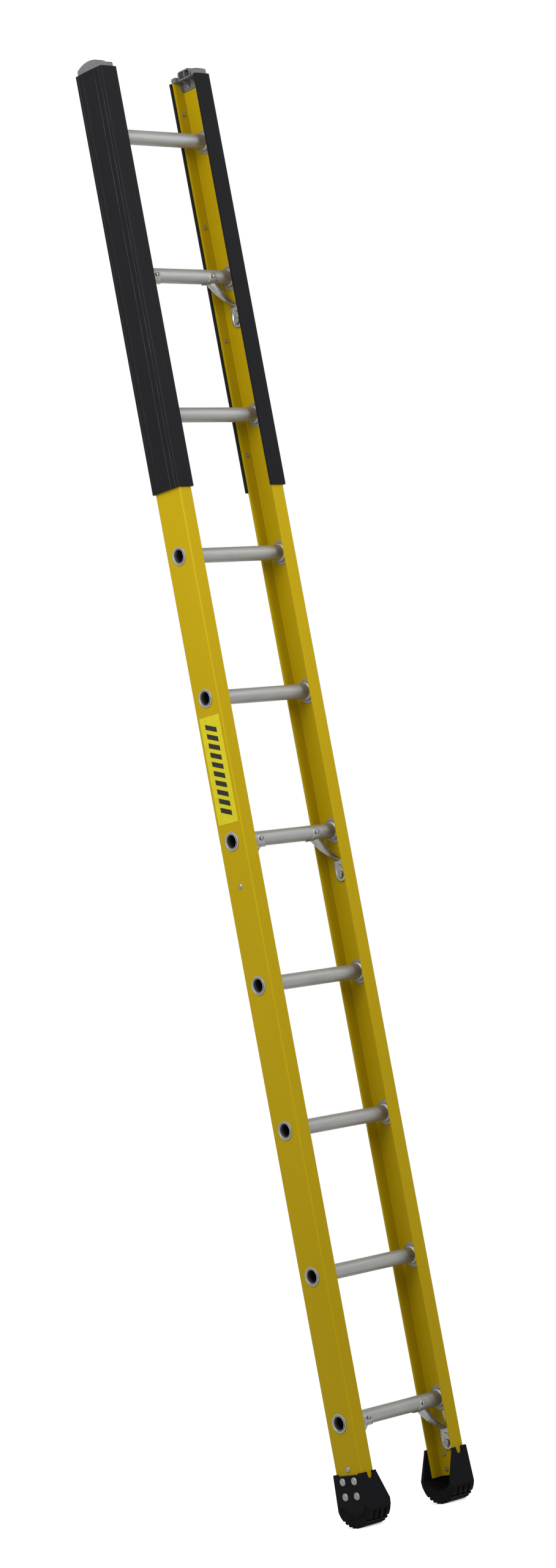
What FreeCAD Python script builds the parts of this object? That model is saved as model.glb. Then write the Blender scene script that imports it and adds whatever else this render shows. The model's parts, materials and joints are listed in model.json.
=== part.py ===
import FreeCAD, Part
import math
import os

import Sketcher

# A single-section fibreglass manhole ladder with ten round aluminium rungs.
# Millimetres.  +Z runs up the rails, +X runs along the rungs and -Y is the side that is climbed.
# The origin lies midway between the two feet, on the surface that they stand on.

os.makedirs("parts", exist_ok=True)
doc = FreeCAD.newDocument("manhole_ladder")
sheet = doc.addObject("Spreadsheet::Sheet", "Sizes")

LEFT = -1
RIGHT = 1
SIDE_NAMES = {LEFT: "left", RIGHT: "right"}


# ---------------------------------------------------------------- driving sizes

class Size:
    """A number that remembers the spreadsheet expression it comes from."""

    def __init__(self, value, text=None):
        self.value = float(value)
        self.text = text or repr(self.value)

    def __add__(self, other):
        other = as_size(other)
        return Size(self.value + other.value, f"({self.text} + {other.text})")

    def __sub__(self, other):
        other = as_size(other)
        return Size(self.value - other.value, f"({self.text} - {other.text})")

    def __mul__(self, other):
        other = as_size(other)
        return Size(self.value * other.value, f"({self.text} * {other.text})")

    def __truediv__(self, other):
        other = as_size(other)
        return Size(self.value / other.value, f"({self.text} / {other.text})")

    def __neg__(self):
        return self * -1

    __radd__ = __add__
    __rmul__ = __mul__

    def __rsub__(self, other):
        return as_size(other) - self


def as_size(number):
    """Wrap a plain number, and pass a Size through."""
    return number if isinstance(number, Size) else Size(number)


def driving(alias, value):
    """Enter one driving dimension in the sheet and return it as a Size."""
    driving.row += 1
    sheet.set(f"A{driving.row}", alias)
    sheet.set(f"B{driving.row}", str(value))
    sheet.setAlias(f"B{driving.row}", alias)
    return Size(value, f"Sizes.{alias}")


driving.row = 0

# Rails: two channels whose open sides face each other.
overall_width = driving("overall_width", 306)
rail_depth = driving("rail_depth", 76.2)
rail_flange = driving("rail_flange", 33.5)
rail_wall = driving("rail_wall", 4.5)
rail_corner = driving("rail_corner", 3)
rail_length = driving("rail_length", 3048)

# Rungs: tubes swaged into both rails, one foot apart.
rung_pitch = driving("rung_pitch", 304.8)
rung_outer = driving("rung_outer", 31.75)
rung_bore = driving("rung_bore", 28.4)
bottom_offset = driving("bottom_offset", 164)
bore_chamfer = driving("bore_chamfer", 0.9)
lip_round = driving("lip_chamfer", 0.4)
bead_round = driving("bead_round", 4.5)
ferrule_chamfer = driving("ferrule_chamfer", 0.6)
bead_radius = driving("bead_radius", 20.9)
bead_width = driving("bead_width", 6)
lip_radius = driving("lip_radius", 18.4)
lip_thickness = driving("lip_thickness", 1.1)
ferrule_radius = driving("ferrule_radius", 20.2)
ferrule_thickness = driving("ferrule_thickness", 2.1)
sleeve_radius = driving("sleeve_radius", 18)
washer_radius = driving("washer_radius", 26.5)
washer_thickness = driving("washer_thickness", 2.4)

# Braces under the first, fifth and ninth rungs.
brace_drop = driving("brace_drop", 95.25)
brace_reach = driving("brace_reach", 66)
brace_tube = driving("brace_tube", 19)
brace_wall = driving("brace_wall", 1.6)
foot_width = driving("foot_width", 30)
foot_thickness = driving("foot_thickness", 4.6)
saddle_thickness = driving("saddle_thickness", 2.4)
saddle_rivet_drop = driving("saddle_rivet_drop", 2)
cheek_half = driving("cheek_half_width", 10)
cheek_toe = driving("cheek_toe_reach", 20)
cheek_heel = driving("cheek_heel_reach", 24)
strut_start = driving("strut_start_offset", 2.5)
strut_drop = driving("strut_drop", 6)
strut_round_run = driving("strut_round_run", 26)
strut_middle_run = driving("strut_middle_run", 43)
strut_middle_fall = driving("strut_middle_fall", 40)
strut_lower_run = driving("strut_lower_run", 59)
strut_lower_fall = driving("strut_lower_fall", 51)
strut_foot_fall = driving("strut_foot_fall", 58)
strip_thickness = driving("strip_thickness", 2)

# Rail shields: channels clipped round the upper part of both rails.
shield_length = driving("shield_length", 914.4)
shield_web_gap = driving("shield_web_gap", 3.4)
shield_web_wall = driving("shield_web_wall", 2.2)
shield_flange_gap = driving("shield_flange_gap", 1)
shield_flange_wall = driving("shield_flange_wall", 3)
shield_overhang = driving("shield_overhang", 4.5)
shield_step = driving("shield_step", 0.8)
shield_rivet_first = driving("shield_rivet_first", 70)
shield_rivet_pitch = driving("shield_rivet_pitch", 254)
shield_rivet_inset = driving("shield_rivet_inset", 20)
shield_recess_radius = driving("shield_recess_radius", 5.4)
shield_recess_depth = driving("shield_recess_depth", 1.8)
shield_broad_step = driving("shield_broad_step", 33.4)
shield_narrow_step = driving("shield_narrow_step", 19.3)
shield_rib = driving("shield_rib", 2)
shield_lip = driving("shield_lip", 2.4)
SHIELD_WEB_RIBS = (24, 33)
SHIELD_FLANGE_RIBS = (11, 28)

# Top caps: moulded plugs with an arched head.
cap_shoulder = driving("cap_shoulder", 11)
cap_crown = driving("cap_crown", 22)
cap_liner = driving("cap_liner", 2.5)
cap_skirt = driving("cap_skirt", 19)
cap_rivet_spread = driving("cap_rivet_spread", 19)
cap_floor = driving("cap_floor", 3)
cap_panel = driving("cap_panel", 13)
cap_block_half = driving("cap_block_half", 19)
cap_block_height = driving("cap_block_height", 20)
cap_block_setback = driving("cap_block_setback", 3)
cap_block_wall = driving("cap_block_wall", 2.8)
cap_block_corner = driving("cap_block_corner", 6)
cap_ear_corner = driving("cap_ear_corner", 4)
cap_pocket_corner = driving("cap_pocket_corner", 4)
cap_pocket_depth = driving("cap_pocket_depth", 20)
cap_ear_start = driving("cap_ear_start", 26)
cap_wing_reach = driving("cap_wing_reach", 20)
cap_gusset_spread = driving("cap_gusset_spread", 10)
cap_gusset_wall = driving("cap_gusset_wall", 2.2)

# Shoes: a shell riveted round the end of each rail, and a round rubber tread below it.
foot_drop = driving("foot_drop", 52)
shoe_wall = driving("shoe_wall", 4.5)
shoe_flare = driving("shoe_flare", 4)
shoe_rise = driving("shoe_rise", 57)
shoe_top_reach = driving("shoe_top_reach", 37.5)
shoe_low_reach = driving("shoe_low_reach", 60)
tread_reach = driving("tread_reach", 57)
shoe_rivet_spread = driving("shoe_rivet_spread", 17)
shoe_rivet_low = driving("shoe_rivet_low", 14)
shoe_rivet_high = driving("shoe_rivet_high", 45)
shoe_ear = driving("shoe_ear_rise", 3)
shoe_dip_half = driving("shoe_dip_half_width", 30)
notch_sink = driving("shoe_notch_sink", 4)
notch_near = driving("shoe_notch_near", 11)
notch_far = driving("shoe_notch_far", 27)
notch_radius = driving("shoe_notch_radius", 8)
sole_half = driving("sole_half_width", 46.3)
groove_width = driving("tread_groove_width", 4.2)
groove_depth = driving("tread_groove_depth", 3.4)
slot_width = driving("tread_slot_width", 4.6)
slot_depth = driving("tread_slot_depth", 5)
slot_first = driving("tread_slot_first", 10.5)
slot_pitch = driving("tread_slot_pitch", 16)
band_half = driving("tread_band_half_width", 35)
band_height = driving("tread_band_height", 6)
band_top = -driving("tread_band_drop", 7.8)
band_thickness = driving("tread_band_thickness", 1.4)
bed_rise = driving("tread_bed_rise", 22)
bed_end = -driving("bed_end_drop", 3.6)
wall_foot = -driving("shoe_wall_drop", 16.5)

# Rivets, by the radius of their shanks.
large_shank = driving("large_rivet_shank", 3.2)
small_shank = driving("small_rivet_shank", 2.4)
small_head_radius = driving("small_rivet_head_radius", 4.8)
small_head_height = driving("small_rivet_head_height", 2.4)
small_tail_radius = driving("small_rivet_tail_radius", 3.2)
small_tail_height = driving("small_rivet_tail_height", 2)
foot_tail_radius = driving("foot_rivet_tail_radius", 7)
foot_tail_height = driving("foot_rivet_tail_height", 3)

# Label on the outside of the left rail.
label_height = driving("label_height", 228)
label_width = driving("label_width", 60)
label_thickness = driving("label_thickness", 0.4)
label_corner = driving("label_corner", 1)

RUNG_COUNT = 10
LABEL_STEPS = 4.5
BRACED_RUNGS = (1, 5, 9)
BRACE_STEP = 4
SHIELD_RIVET_COUNT = 4
GROOVE_COUNT = 8
GROOVE_SPAN = 91
SLOT_COUNT = 3
SLOT_FROM = 45
SLOT_TO = 71
FACES = (-1, 1)
CLEAR = 1

# Heights that several parts share.
rail_top = foot_drop + rail_length
first_rung = foot_drop + bottom_offset
sag = foot_drop + wall_foot
tread_radius = (sole_half * sole_half + sag * sag) / (2 * sag)
half_width = overall_width / 2
half_depth = rail_depth / 2
rung_radius = rung_outer / 2
web_inner = half_width - rail_wall

doc.recompute()


# ---------------------------------------------------------------- modelling helpers

def bind(thing, prop, size):
    """Drive one property of an object from the sheet."""
    size = as_size(size)
    thing.setExpression(prop, size.text)


def place(thing, across=0, deep=0, up=0):
    """Put an object at a sheet-driven position, with no rotation."""
    for axis, size in (("x", across), ("y", deep), ("z", up)):
        bind(thing, f"Placement.Base.{axis}", size)


def new_body(label, across=0, deep=0, up=0):
    """Start a body that may hold several separate solids."""
    body = doc.addObject("PartDesign::Body", label)
    body.Label = label
    body.AllowCompound = True
    place(body, across, deep, up)
    return body


def origin_feature(body, role):
    """Find one of the body's own origin planes or axes by its role."""
    return next(item for item in body.Origin.OriginFeatures if item.Role == role)


def new_sketch(body, role, name, offset=0):
    """Attach a sketch to an origin plane of its body, moved along the plane's normal."""
    sketch = body.newObject("Sketcher::SketchObject", name)
    sketch.AttachmentSupport = (origin_feature(body, role), [""])
    sketch.MapMode = "FlatFace"
    bind(sketch, "AttachmentOffset.Base.z", offset)
    return sketch


def pin(sketch, curve, end, across, up):
    """Fix one point of a sketch at sheet-driven coordinates, or along one axis when the other is None."""
    for kind, size in (("DistanceX", across), ("DistanceY", up)):
        if size is None:
            continue
        size = as_size(size)
        index = sketch.addConstraint(Sketcher.Constraint(kind, -1, 1, curve, end, size.value))
        name = f"{kind[-1].lower()}_{curve}_{end}"
        sketch.renameConstraint(index, name)
        bind(sketch, f"Constraints.{name}", size)


def pin_radius(sketch, curve, radius):
    """Drive the radius of an arc or a circle."""
    index = sketch.addConstraint(Sketcher.Constraint("Radius", curve, radius.value))
    sketch.renameConstraint(index, f"radius_{curve}")
    bind(sketch, f"Constraints.radius_{curve}", radius)


def is_clockwise(corner):
    """True for an arc corner whose centre lies on the right, which swaps the arc's stored ends."""
    return len(corner) == 4 and corner[3] < 0


def draw_outline(sketch, corners):
    """Draw a closed outline.

    Each corner is (across, up) for a straight side to the next corner, or
    (across, up, radius, centre_side) for an arc.  centre_side is +1 when the arc's
    centre lies left of the way from this corner to the next one, and -1 when right.
    A half circle has a level chord.
    """
    first = sketch.GeometryCount
    count = len(corners)
    for index, corner in enumerate(corners):
        start = vector(corner)
        stop = vector(corners[(index + 1) % count])
        if len(corner) == 2:
            sketch.addGeometry(Part.LineSegment(start, stop))
        else:
            sketch.addGeometry(arc_between(start, stop, as_size(corner[2]).value, corner[3]))
    for index, corner in enumerate(corners):
        curve = first + index
        following = first + (index + 1) % count
        next_corner = corners[(index + 1) % count]
        start_point, last_point = (2, 1) if is_clockwise(corner) else (1, 2)
        next_point = 2 if is_clockwise(next_corner) else 1
        sketch.addConstraint(Sketcher.Constraint("Coincident", curve, last_point, following, next_point))
        pin(sketch, curve, start_point, corner[0], corner[1])
        if len(corner) == 4:
            chord = vector(next_corner) - vector(corner)
            if chord.Length > as_size(corner[2]).value * 2 - 1e-6:
                pin(sketch, curve, 3, None, corner[1])
            else:
                pin_radius(sketch, curve, as_size(corner[2]))


def vector(corner):
    """The sketch point of a corner."""
    return FreeCAD.Vector(as_size(corner[0]).value, as_size(corner[1]).value, 0)


def arc_between(start, stop, radius, centre_side):
    """The shorter arc of a radius between two points."""
    chord = stop - start
    middle = (start + stop) / 2
    leftwards = FreeCAD.Vector(-chord.y, chord.x, 0).normalize()
    rise = math.sqrt(max(radius ** 2 - (chord.Length / 2) ** 2, 0))
    centre = middle + leftwards * (rise * centre_side)
    through = centre - leftwards * (radius * centre_side)
    return Part.Arc(start, through, stop)


def draw_box(sketch, left, bottom, right, top):
    """Draw a rectangle from two opposite corners."""
    draw_outline(sketch, [(left, bottom), (right, bottom), (right, top), (left, top)])


def draw_circle(sketch, across, up, radius):
    """Draw a circle."""
    radius = as_size(radius)
    centre = vector((across, up))
    curve = sketch.addGeometry(Part.Circle(centre, FreeCAD.Vector(0, 0, 1), radius.value))
    pin(sketch, curve, 3, across, up)
    pin_radius(sketch, curve, radius)


def pad(body, sketch, name, length, backwards=False, both_ways=False):
    """Extrude a sketch into material."""
    feature = body.newObject("PartDesign::Pad", name)
    feature.Profile = sketch
    bind(feature, "Length", length)
    feature.Reversed = backwards
    feature.Midplane = both_ways
    return feature


def pocket(body, sketch, name, length, backwards=False, both_ways=False):
    """Cut a sketch out of the body, and insist that it removed something."""
    doc.recompute()
    before = body.Shape.Volume
    feature = body.newObject("PartDesign::Pocket", name)
    feature.Profile = sketch
    bind(feature, "Length", length)
    feature.Reversed = backwards
    feature.Midplane = both_ways
    doc.recompute()
    if body.Shape.Volume >= before - 1e-6:
        raise RuntimeError(f"{body.Label}: {name} removes nothing")
    return feature


def revolve(body, sketch, name, axis="H_Axis"):
    """Turn a sketch right round one of its own axes."""
    feature = body.newObject("PartDesign::Revolution", name)
    feature.Profile = sketch
    feature.ReferenceAxis = (sketch, [axis])
    feature.Angle = 360
    return feature


def repeat(body, feature, name, axis_role, spacing, count):
    """Repeat a feature in a straight row."""
    doc.recompute()
    row = body.newObject("PartDesign::LinearPattern", name)
    row.Originals = [feature]
    row.Direction = (origin_feature(body, axis_role), [""])
    bind(row, "Length", spacing * (count - 1))
    row.Occurrences = count
    body.Tip = row
    doc.recompute()
    return row


def mirror(body, features, name, plane_role):
    """Mirror features in one of the body's origin planes."""
    doc.recompute()
    twin = body.newObject("PartDesign::Mirrored", name)
    twin.Originals = features
    twin.MirrorPlane = (origin_feature(body, plane_role), [""])
    body.Tip = twin
    doc.recompute()
    return twin


def round_edges(body, name, radius, wanted):
    """Round every edge of the body's shape that the test accepts."""
    doc.recompute()
    tip = body.Tip
    names = [f"Edge{i + 1}" for i, edge in enumerate(tip.Shape.Edges) if wanted(edge)]
    if not names:
        raise RuntimeError(f"{body.Label}: {name} finds no edge")
    feature = body.newObject("PartDesign::Fillet", name)
    feature.Base = (tip, names)
    bind(feature, "Radius", radius)
    doc.recompute()
    return feature


def is_upright(edge):
    """True for a straight edge along Z."""
    if len(edge.Vertexes) != 2:
        return False
    start, stop = (vertex.Point for vertex in edge.Vertexes)
    along = stop - start
    return abs(along.z) > 1 and math.hypot(along.x, along.y) < 1e-4


# ---------------------------------------------------------------- rails

def make_rail(side):
    """One channel rail with the holes for its rungs, braces, shoe, cap and shield."""
    inward = -side
    lip_inner = half_depth - rail_wall
    body = new_body(f"{SIDE_NAMES[side]}_rail", side * half_width, 0, foot_drop)
    outer = new_sketch(body, "XY_Plane", "RailOutline")
    draw_box(outer, 0, -half_depth, inward * rail_flange, half_depth)
    pad(body, outer, "RailPad", rail_length)
    inner = new_sketch(body, "XY_Plane", "ChannelOutline")
    draw_box(inner, inward * rail_wall, -lip_inner, inward * (rail_flange + 1), lip_inner)
    pocket(body, inner, "Channel", rail_length, backwards=True)

    round_edges(body, "OuterCorners", rail_corner,
                lambda edge: is_upright(edge) and abs(edge.CenterOfMass.x) < 0.01)
    root = (inward * rail_wall).value
    round_edges(body, "InnerCorners", 2,
                lambda edge: is_upright(edge) and abs(edge.CenterOfMass.x - root) < 0.01
                and abs(abs(edge.CenterOfMass.y) - lip_inner.value) < 0.01)
    tip = (inward * rail_flange).value
    round_edges(body, "FlangeTips", 1,
                lambda edge: is_upright(edge) and abs(edge.CenterOfMass.x - tip) < 0.01)

    into_web = inward > 0
    rung_hole = new_sketch(body, "YZ_Plane", "RungHoleCircle")
    draw_circle(rung_hole, 0, bottom_offset, sleeve_radius)
    first = pocket(body, rung_hole, "RungHole", rail_wall * 2, backwards=into_web)
    repeat(body, first, "RungHoles", "Z_Axis", rung_pitch, RUNG_COUNT)

    brace_hole = new_sketch(body, "YZ_Plane", "BraceHoleCircle")
    draw_circle(brace_hole, 0, bottom_offset - brace_drop, large_shank)
    first = pocket(body, brace_hole, "BraceHole", rail_wall * 2, backwards=into_web)
    repeat(body, first, "BraceHoles", "Z_Axis", rung_pitch * BRACE_STEP, len(BRACED_RUNGS))

    end_holes = new_sketch(body, "YZ_Plane", "ShoeAndCapHoleCircles")
    for across in (-shoe_rivet_spread, shoe_rivet_spread):
        for up in (shoe_rivet_low, shoe_rivet_high):
            draw_circle(end_holes, across, up, large_shank)
    for across in (-cap_rivet_spread, cap_rivet_spread):
        draw_circle(end_holes, across, rail_length - cap_skirt / 2, small_shank)
    pocket(body, end_holes, "ShoeAndCapHoles", rail_wall * 2, backwards=into_web)

    shield_hole = new_sketch(body, "XZ_Plane", "ShieldHoleCircle")
    lowest = rail_length - shield_rivet_first - shield_rivet_pitch * (SHIELD_RIVET_COUNT - 1)
    draw_circle(shield_hole, inward * shield_rivet_inset, lowest, small_shank)
    first = pocket(body, shield_hole, "ShieldHole", rail_depth)
    repeat(body, first, "ShieldHoles", "Z_Axis", shield_rivet_pitch, SHIELD_RIVET_COUNT)
    return body


# ---------------------------------------------------------------- rungs and their rings

def rung_height(number):
    """Height of a rung's axis, counted from the bottom."""
    return first_rung + rung_pitch * (number - 1)


def make_rung(number):
    """One rung: a tube with a bead against each inner washer and a lip rolled over each ferrule."""
    body = new_body(f"rung_{number:02d}", 0, 0, rung_height(number))
    bore = rung_bore / 2
    face = half_width + ferrule_thickness
    end = face + lip_thickness
    bead = web_inner - washer_thickness
    half = new_sketch(body, "XZ_Plane", "RungHalf")
    draw_outline(half, [
        (0, bore),
        (end - bore_chamfer, bore),
        (end, bore + bore_chamfer),
        (end, lip_radius - lip_round),
        (end - lip_round, lip_radius),
        (face, lip_radius),
        (face, rung_radius),
        (bead, rung_radius),
        (bead, bead_radius - 0.7, bead_round, 1),
        (bead - bead_width + 0.5, rung_radius + 1.3),
        (bead - bead_width - 2, rung_radius),
        (0, rung_radius),
    ])
    turned = revolve(body, half, "HalfTube")
    mirror(body, [turned], "WholeTube", "YZ_Plane")
    if number in BRACED_RUNGS:
        holes = new_sketch(body, "XZ_Plane", "SaddleHoleCircles")
        for side in SIDE_NAMES:
            draw_circle(holes, side * (web_inner - brace_reach), -saddle_rivet_drop, small_shank)
        pocket(body, holes, "SaddleHoles", rung_outer + 4, both_ways=True)
    return body


def make_ferrules(side):
    """Ten flanged ferrules that line the rung holes from outside."""
    body = new_body(f"rung_ferrules_{SIDE_NAMES[side]}", 0, 0, first_rung)
    face = half_width + ferrule_thickness
    section = new_sketch(body, "XZ_Plane", "FerruleSection")
    draw_outline(section, [
        (side * web_inner, rung_radius),
        (side * face, rung_radius),
        (side * face, ferrule_radius - ferrule_chamfer),
        (side * (face - ferrule_chamfer), ferrule_radius),
        (side * half_width, ferrule_radius),
        (side * half_width, sleeve_radius),
        (side * web_inner, sleeve_radius),
    ])
    turned = revolve(body, section, "Ferrule")
    repeat(body, turned, "Ferrules", "Z_Axis", rung_pitch, RUNG_COUNT)
    return body


def make_washers(side):
    """Ten broad washers between the rung beads and the inner face of the web."""
    body = new_body(f"rung_washers_{SIDE_NAMES[side]}", 0, 0, first_rung)
    bead = web_inner - washer_thickness
    section = new_sketch(body, "XZ_Plane", "WasherSection")
    draw_outline(section, [
        (side * bead, rung_radius),
        (side * web_inner, rung_radius),
        (side * web_inner, washer_radius),
        (side * (bead + 1), washer_radius),
        (side * bead, washer_radius - 1),
    ])
    turned = revolve(body, section, "Washer")
    repeat(body, turned, "Washers", "Z_Axis", rung_pitch, RUNG_COUNT)
    return body


# ---------------------------------------------------------------- rung braces

def draw_oval(sketch, thickness, width):
    """Draw an upright oval about the sketch's origin: thin across, wide along the second axis."""
    centre = FreeCAD.Vector(0, 0, 0)
    wide_end = FreeCAD.Vector(0, width / 2, 0)
    thin_end = FreeCAD.Vector(-thickness / 2, 0, 0)
    curve = sketch.addGeometry(Part.Ellipse(wide_end, thin_end, centre))
    pin(sketch, curve, 3, 0, 0)


def strut_plane(body, name, side, across, up, tilt):
    """A sketch across a strut, turned by tilt degrees about Y from level."""
    sketch = new_sketch(body, "XY_Plane", name)
    turn = FreeCAD.Rotation(FreeCAD.Vector(0, 1, 0), -side * tilt)
    sketch.AttachmentOffset = FreeCAD.Placement(FreeCAD.Vector(0, 0, 0), turn)
    bind(sketch, "AttachmentOffset.Base.x", side * as_size(across))
    bind(sketch, "AttachmentOffset.Base.z", up)
    return sketch


def strut_circle(body, name, side, across, up, radius):
    """The round section at the upper end of a strut."""
    sketch = strut_plane(body, name, side, across, up, 45)
    draw_circle(sketch, 0, 0, radius)
    return sketch


def strut_section(body, name, side, across, up, tilt, thickness, width):
    """One oval section of a strut."""
    sketch = strut_plane(body, name, side, across, up, tilt)
    draw_oval(sketch, as_size(thickness).value, as_size(width).value)
    return sketch


def loft(body, name, sections):
    """Join sections into material with straight runs."""
    feature = body.newObject("PartDesign::AdditiveLoft", name)
    feature.Profile = sections[0]
    feature.Sections = sections[1:]
    feature.Ruled = True
    doc.recompute()
    return feature


def make_brace(number, side):
    """A tube saddled on the rung at its upper end and flattened into a riveted foot at its lower end."""
    body = new_body(f"rung_brace_{number:02d}_{SIDE_NAMES[side]}", 0, 0, rung_height(number))
    rivet = web_inner - brace_reach
    outside = rung_radius + saddle_thickness
    drop = saddle_rivet_drop

    cheeks = new_sketch(body, "XZ_Plane", "CheekOutline")
    draw_outline(cheeks, [
        (side * (rivet - cheek_toe), -outside),
        (side * (rivet + cheek_heel), -outside),
        (side * (rivet + cheek_half * 1.5), -outside + 5),
        (side * (rivet + cheek_half), -drop, cheek_half, side),
        (side * (rivet - cheek_half), -drop),
        (side * (rivet - cheek_half - CLEAR), -outside + 7),
        (side * (rivet - cheek_toe + CLEAR), -outside + 1.4),
    ])
    pad(body, cheeks, "CheekBlock", outside * 2, both_ways=True)

    room = new_sketch(body, "YZ_Plane", "SleeveOutside")
    reach = outside + 4
    draw_box(room, -reach, -reach, reach, reach)
    draw_circle(room, 0, 0, outside)
    pocket(body, room, "SleeveShape", overall_width, both_ways=True)

    start = rivet - strut_start
    top = -drop - strut_drop
    barrel = strut_circle(body, "StrutCircle", side, start, top, brace_tube / 2)
    pad(body, barrel, "StrutBarrel", strut_round_run * math.sqrt(2), backwards=True)
    bore = strut_circle(body, "StrutBoreCircle", side, start, top, brace_tube / 2 - brace_wall)
    pocket(body, bore, "StrutBore", strut_round_run * math.sqrt(2))
    seat = new_sketch(body, "YZ_Plane", "RungSeat")
    draw_circle(seat, 0, 0, rung_radius)
    pocket(body, seat, "Seat", overall_width, both_ways=True)

    stations = [
        ("StrutUpper", start + strut_round_run, top - strut_round_run, 45, 1, 1),
        ("StrutMiddle", start + strut_middle_run, top - strut_middle_fall, 45, 0.82, 1.1),
        ("StrutLower", start + strut_lower_run, top - strut_lower_fall, 30, 0.5, 1.35),
    ]
    skin = [strut_section(body, name, side, across, up, tilt, brace_tube * thin, brace_tube * wide)
            for name, across, up, tilt, thin, wide in stations]
    middle = web_inner - foot_thickness / 2
    foot_top = top - strut_foot_fall
    skin.append(strut_section(body, "StrutFoot", side, middle, foot_top, 0, foot_thickness, foot_width))
    loft(body, "Strut", skin)

    foot = new_sketch(body, "YZ_Plane", "FootOutline", side * (web_inner - foot_thickness))
    half = foot_width / 2
    draw_outline(foot, [
        (-half, foot_top + CLEAR),
        (-half, -brace_drop, half, 1),
        (half, -brace_drop),
        (half, foot_top + CLEAR),
    ])
    pad(body, foot, "Foot", foot_thickness, backwards=side < 0)

    saddle_hole = new_sketch(body, "XZ_Plane", "SaddleHoleCircle")
    draw_circle(saddle_hole, side * rivet, -drop, small_shank)
    pocket(body, saddle_hole, "SaddleHole", outside * 2 + 2, both_ways=True)
    foot_hole = new_sketch(body, "YZ_Plane", "FootHoleCircle", side * web_inner)
    draw_circle(foot_hole, 0, -brace_drop, large_shank)
    pocket(body, foot_hole, "FootHole", foot_thickness + 2, backwards=side < 0)
    return body


def make_bottom_strip(side):
    """The stepped strip on the web between the bottom rung's washer and its brace foot."""
    body = new_body(f"bottom_rung_strip_{SIDE_NAMES[side]}", 0, 0, first_rung)
    outline = new_sketch(body, "YZ_Plane", "StripOutline", side * web_inner)
    draw_outline(outline, [
        (-1, -washer_radius - 1),
        (-9, -washer_radius - 1),
        (-9, -washer_radius - 11),
        (-15, -washer_radius - 15),
        (-15, -washer_radius - 28),
        (-5, -washer_radius - 30),
    ])
    pad(body, outline, "Strip", strip_thickness, backwards=side > 0)
    return body


# ---------------------------------------------------------------- rivets

def rivet_section(sketch, direction, head_face, head_radius, head_height, tail_face, tail_radius,
                  tail_height, shank):
    """Half a rivet along the sketch's first axis, head first.

    direction is +1 when the head points towards larger coordinates.
    """
    draw_outline(sketch, [
        (tail_face - direction * tail_height, 0),
        (head_face + direction * head_height, 0),
        (head_face + direction * head_height, head_radius * 0.45),
        (head_face + direction * head_height * 0.45, head_radius * 0.88),
        (head_face, head_radius),
        (head_face, shank),
        (tail_face, shank),
        (tail_face, tail_radius),
        (tail_face - direction * tail_height * 0.6, tail_radius * 0.85),
        (tail_face - direction * tail_height, tail_radius * 0.5),
    ])


def make_brace_rail_rivets():
    """Six rivets that hold the brace feet to the webs, with domed heads outside."""
    body = new_body("brace_rail_rivets", 0, 0, first_rung - brace_drop)
    section = new_sketch(body, "XZ_Plane", "RivetSections")
    for side in SIDE_NAMES:
        rivet_section(section, side, side * half_width, 6.3, 2.6,
                      side * (web_inner - foot_thickness), foot_tail_radius, foot_tail_height,
                      large_shank)
    turned = revolve(body, section, "Rivets")
    repeat(body, turned, "RivetRow", "Z_Axis", rung_pitch * BRACE_STEP, len(BRACED_RUNGS))
    return body


def make_brace_rung_rivets():
    """Twelve blind rivets through the brace cheeks into the rungs, front and back."""
    body = new_body("brace_rung_rivets", 0, 0, first_rung)
    outside = rung_radius + saddle_thickness
    inside = rung_bore / 2 - CLEAR
    tail_end = inside - small_tail_height
    head_end = outside + small_head_height
    for side, name in SIDE_NAMES.items():
        section = new_sketch(body, "XY_Plane", f"{name}Sections", -saddle_rivet_drop)
        bind(section, "AttachmentOffset.Base.x", side * (web_inner - brace_reach))
        for face in FACES:
            draw_outline(section, [
                (0, face * tail_end),
                (0, face * head_end),
                (small_head_radius / 2, face * head_end),
                (small_head_radius - 0.4, face * (outside + CLEAR)),
                (small_head_radius, face * outside),
                (small_shank, face * outside),
                (small_shank, face * inside),
                (small_tail_radius, face * inside),
                (small_tail_radius, face * (tail_end + 0.6)),
                (small_tail_radius - 1.2, face * tail_end),
            ])
        turned = revolve(body, section, f"{name}Rivets", axis="V_Axis")
        repeat(body, turned, f"{name}RivetRow", "Z_Axis", rung_pitch * BRACE_STEP, len(BRACED_RUNGS))
    return body


def make_shoe_rivets(side):
    """Four broad flat-headed rivets through the shoe and the web."""
    body = new_body(f"shoe_rivets_{SIDE_NAMES[side]}", 0, 0, foot_drop)
    for column, deep in enumerate((-shoe_rivet_spread, shoe_rivet_spread)):
        for row, up in enumerate((shoe_rivet_low, shoe_rivet_high)):
            section = new_sketch(body, "XZ_Plane", f"RivetSection{column}{row}", -deep)
            bind(section, "AttachmentOffset.Base.y", up)
            rivet_section(section, side, side * (half_width + shoe_wall), 8, 1.9,
                          side * web_inner, 4.2, 2.4, large_shank)
            revolve(body, section, f"Rivet{column}{row}")
    return body


def make_cap_rivets(side):
    """Two rivets that hold a top cap to the web, with their heads inside."""
    body = new_body(f"cap_rivets_{SIDE_NAMES[side]}", 0, 0, rail_top - cap_skirt / 2)
    for column, deep in enumerate((-cap_rivet_spread, cap_rivet_spread)):
        section = new_sketch(body, "XZ_Plane", f"RivetSection{column}", -deep)
        rivet_section(section, -side, side * (web_inner - cap_liner), 4.2, 2,
                      side * half_width, 3.8, 1.4, small_shank)
        revolve(body, section, f"Rivet{column}")
    return body


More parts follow.
